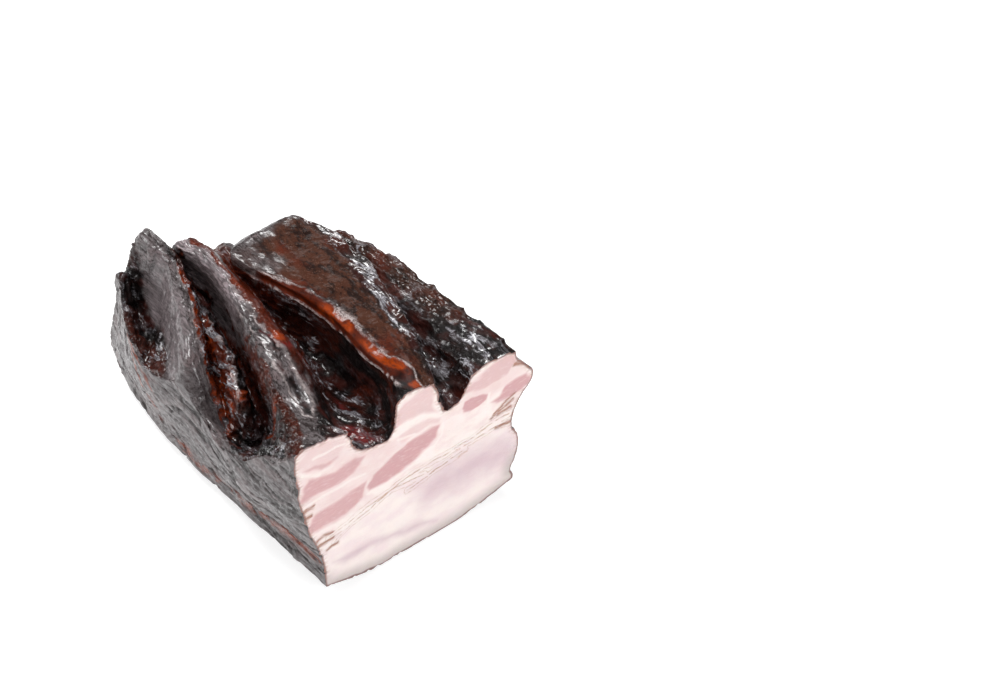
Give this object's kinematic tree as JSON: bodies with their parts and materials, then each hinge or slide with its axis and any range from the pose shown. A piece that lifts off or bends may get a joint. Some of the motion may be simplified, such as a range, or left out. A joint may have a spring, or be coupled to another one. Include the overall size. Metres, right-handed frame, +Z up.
{
  "type": "smoked pork belly piece",
  "caption": "Half slab of smoked pork belly with a deeply furrowed dark crust, lying on its rind, cut face showing marbled lean over a layer of fat.",
  "frame": {"origin": "middle of the footprint's bounding box, at the height of the table that the slab lies on", "axes": "+Y along the slab from the cut face to the rounded back end, +X across the slab to the right as seen from the cut, +Z up"},
  "size_m": [0.1039, 0.1667, 0.0761],
  "materials": {
    "smoked_lean": "glossy, nearly black smoked crust; pink marbled lean where cut",
    "fat_and_rind": "satin grey-brown smoked outside; pale pink fat where cut"
  },
  "bodies": {
    "root": {"lean_layer": "smoked_lean", "fat_layer": "fat_and_rind"}
  },
  "joints": []
}
